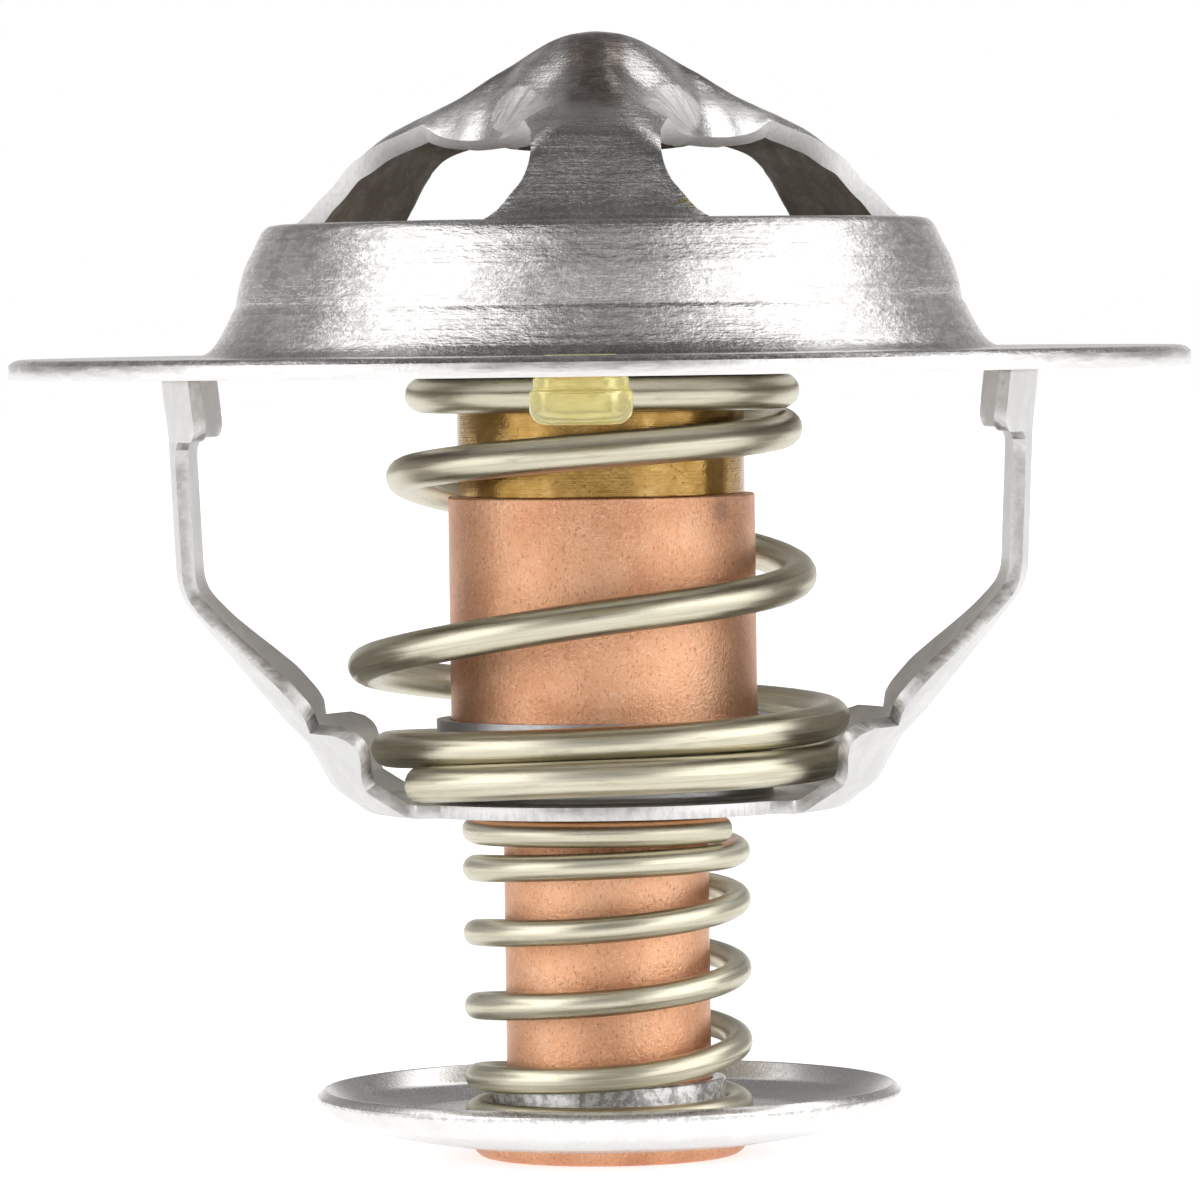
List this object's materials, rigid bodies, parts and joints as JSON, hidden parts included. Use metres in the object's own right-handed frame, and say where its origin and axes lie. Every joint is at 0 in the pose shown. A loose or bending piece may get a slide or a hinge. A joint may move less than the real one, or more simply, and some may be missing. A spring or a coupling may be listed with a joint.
{
  "type": "engine thermostat with wax element",
  "caption": "Flanged wax-element engine thermostat with a three-legged bridge, sprung main valve and sprung bypass disc.",
  "frame": {"origin": "on the axis, in the plane of the flange's upper face", "axes": "+Z along the axis towards the bridge's apex; one bridge leg stands on the -Y side; the lower yoke's two legs are on the X axis"},
  "size_m": [0.054, 0.054, 0.0512],
  "materials": {
    "stainless": "satin, finely speckled",
    "spring_steel": "drawn wire, satin",
    "polished_steel": "ground and polished",
    "copper": "matt copper",
    "brass": "turned brass, slightly tarnished",
    "seal_rubber": "matt black rubber",
    "wax": "wax filled with copper powder",
    "amber_plastic": "clear yellow plastic"
  },
  "bodies": {
    "frame": {"flange_bridge": "stainless", "lower_yoke": "stainless", "main_spring": "spring_steel", "piston_pin": "polished_steel", "vent_plug": "amber_plastic"},
    "element": {"element_cup": "copper", "guide_body": "brass", "piston_seal": "seal_rubber", "rubber_boot": "seal_rubber", "wax_charge": "wax", "valve_plate": "stainless", "valve_seal": "seal_rubber", "bypass_spring": "spring_steel"},
    "bypass": {"bypass_disc": "stainless"}
  },
  "joints": [
    {"name": "valve_slide", "type": "slide", "parent": "frame", "child": "element", "axis": [0, 0, -1], "range_m": [0, 0.008], "stiffness_N_per_m": 3000, "springref_m": -0.01, "deforming": ["main_spring"]},
    {"name": "bypass_slide", "type": "slide", "parent": "element", "child": "bypass", "axis": [0, 0, 1], "range_m": [0, 0.0055], "stiffness_N_per_m": 900, "springref_m": -0.006, "deforming": ["bypass_spring"]}
  ]
}
